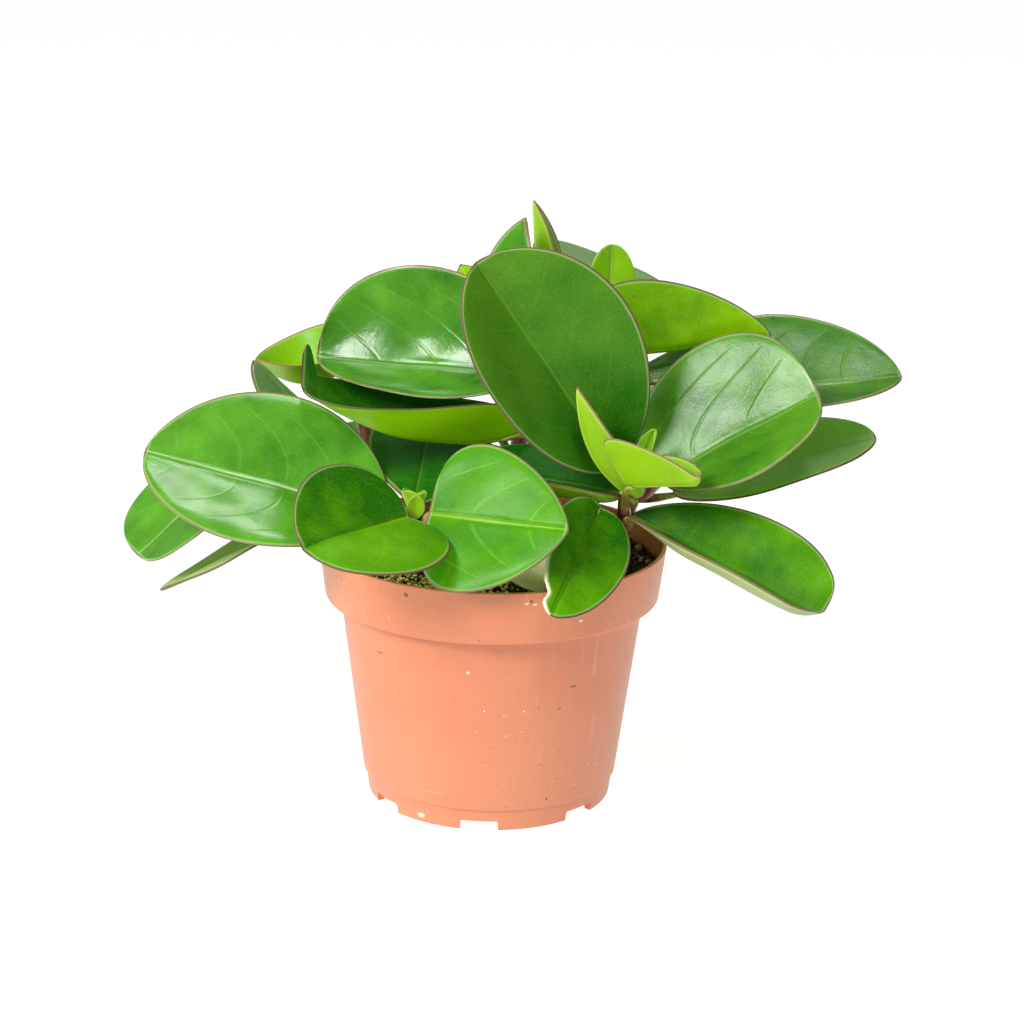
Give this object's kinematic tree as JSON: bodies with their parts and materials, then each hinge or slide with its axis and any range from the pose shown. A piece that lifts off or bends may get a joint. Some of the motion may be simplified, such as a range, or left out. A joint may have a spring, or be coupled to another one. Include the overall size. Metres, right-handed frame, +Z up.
{
  "type": "potted peperomia",
  "caption": "Bushy potted peperomia with thick round glossy green leaves on reddish stems, in a tapered terracotta-orange plastic nursery pot filled with dark soil.",
  "frame": {"origin": "middle of the pot's underside, on its vertical axis and level with the ring it stands on", "axes": "+Z up along the pot's axis, -Y towards the plant's front, +X to the right seen from the front"},
  "size_m": [0.2693, 0.1847, 0.2041],
  "materials": {
    "pot": "satin terracotta-orange plastic, lightly scratched",
    "soil": null,
    "stem": null,
    "leaf": null,
    "young_leaf": null
  },
  "bodies": {
    "root": {"pot": "pot", "soil": "soil", "stem_front": "stem", "stem_left": "stem", "stem_right_front": "stem", "stem_right_back": "stem", "stem_centre": "stem", "stem_left_back": "stem", "stem_back": "stem", "leaf_front_left": "leaf", "leaf_front_middle": "leaf", "leaf_front_upper": "leaf", "leaf_left": "leaf", "leaf_left_low": "leaf", "leaf_left_lowest": "leaf", "leaf_centre": "leaf", "leaf_right_front": "leaf", "leaf_right_low": "leaf", "leaf_under_centre": "leaf", "leaf_over_rim": "leaf", "leaf_tip_upright": "young_leaf", "leaf_tip_right": "young_leaf", "leaf_right_far": "leaf", "leaf_right_under": "leaf", "leaf_right_middle": "leaf", "leaf_upper_right": "leaf", "leaf_upper_left": "leaf", "leaf_upper_left_under": "leaf", "leaf_small_left": "young_leaf", "leaf_small_left_under": "leaf", "leaf_top_left": "leaf", "leaf_top": "young_leaf", "leaf_top_right": "leaf", "leaf_top_back_left": "leaf", "leaf_behind_rim": "young_leaf", "leaf_back_1": "leaf", "leaf_back_2": "leaf", "leaf_back_3": "leaf", "leaf_back_4": "leaf", "leaf_back_5": "leaf", "leaf_back_6": "leaf", "leaf_back_7": "leaf"}
  },
  "joints": []
}
